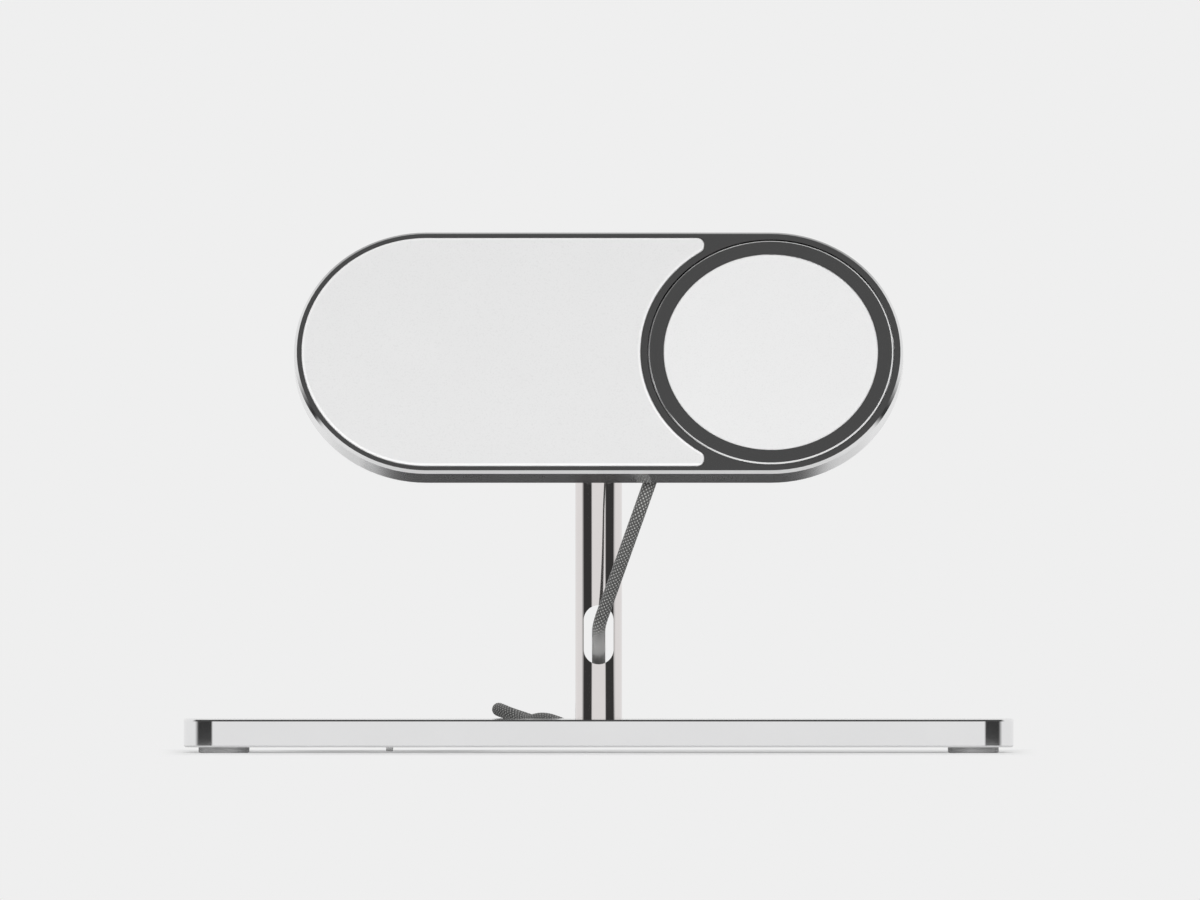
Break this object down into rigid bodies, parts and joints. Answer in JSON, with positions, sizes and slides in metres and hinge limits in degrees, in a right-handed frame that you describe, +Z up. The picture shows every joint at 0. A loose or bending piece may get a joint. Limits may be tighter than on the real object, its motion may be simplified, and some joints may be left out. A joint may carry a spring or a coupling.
{
  "type": "two in one charging stand",
  "caption": "Charging stand with a tilting pill-shaped metal head, a round magnetic phone charger beside a white pad, on a slotted round post and a heavy polished plate, with a braided cord",
  "frame": {"origin": "on the table under the middle of the base plate", "axes": "+X to the right seen from the front, +Y to the back, +Z up"},
  "size_m": [0.1894, 0.1641, 0.1186],
  "materials": {
    "polished_steel": "polished",
    "head_aluminium": "polished",
    "cover_aluminium": "satin",
    "hinge_steel": "satin",
    "screw_steel": "satin",
    "washer_bronze": "satin",
    "panel_white": "matte",
    "disc_white": "satin",
    "foot_rubber": "matte",
    "magnet_nickel": "polished",
    "coil_copper": "satin",
    "shield_ferrite": "matte",
    "board_green": "satin",
    "chip_black": "matte",
    "gland_grey": "matte",
    "cord_braid": "matte",
    "tie_fabric": "matte",
    "plug_white": "satin",
    "plug_steel": "satin"
  },
  "bodies": {
    "stand": {"base_plate": "polished_steel", "foot_front_left": "foot_rubber", "foot_front_right": "foot_rubber", "foot_rear_left": "foot_rubber", "foot_rear_right": "foot_rubber", "post": "polished_steel", "base_screw": "screw_steel", "cord_lower": "cord_braid", "cord_tail": "cord_braid", "cord_coil": "cord_braid", "cord_tie_near": "tie_fabric", "cord_tie_far": "tie_fabric", "plug_boot": "gland_grey", "plug_body": "plug_white", "plug_shell": "plug_steel"},
    "head": {"hinge_bracket": "hinge_steel", "bracket_screws": "screw_steel", "hinge_pin": "screw_steel", "hinge_nut": "screw_steel", "washer_right": "washer_bronze", "washer_left": "washer_bronze", "head_frame": "head_aluminium", "front_panel": "panel_white", "back_cover": "cover_aluminium", "cover_screws": "screw_steel", "puck_ring": "head_aluminium", "puck_disc": "disc_white", "puck_magnets": "magnet_nickel", "puck_coil": "coil_copper", "puck_shield": "shield_ferrite", "puck_yoke": "screw_steel", "pad_magnets": "magnet_nickel", "pad_coil": "coil_copper", "pad_shield": "shield_ferrite", "circuit_board": "board_green", "board_parts": "chip_black", "cord_gland": "gland_grey", "cord_upper": "cord_braid"}
  },
  "joints": [
    {"name": "head_tilt", "type": "hinge", "parent": "stand", "child": "head", "pos_m": [0, 0, 0.08331], "axis": [-1, 0, 0], "range_deg": [-15, 25], "deforming": ["cord_upper"]}
  ]
}
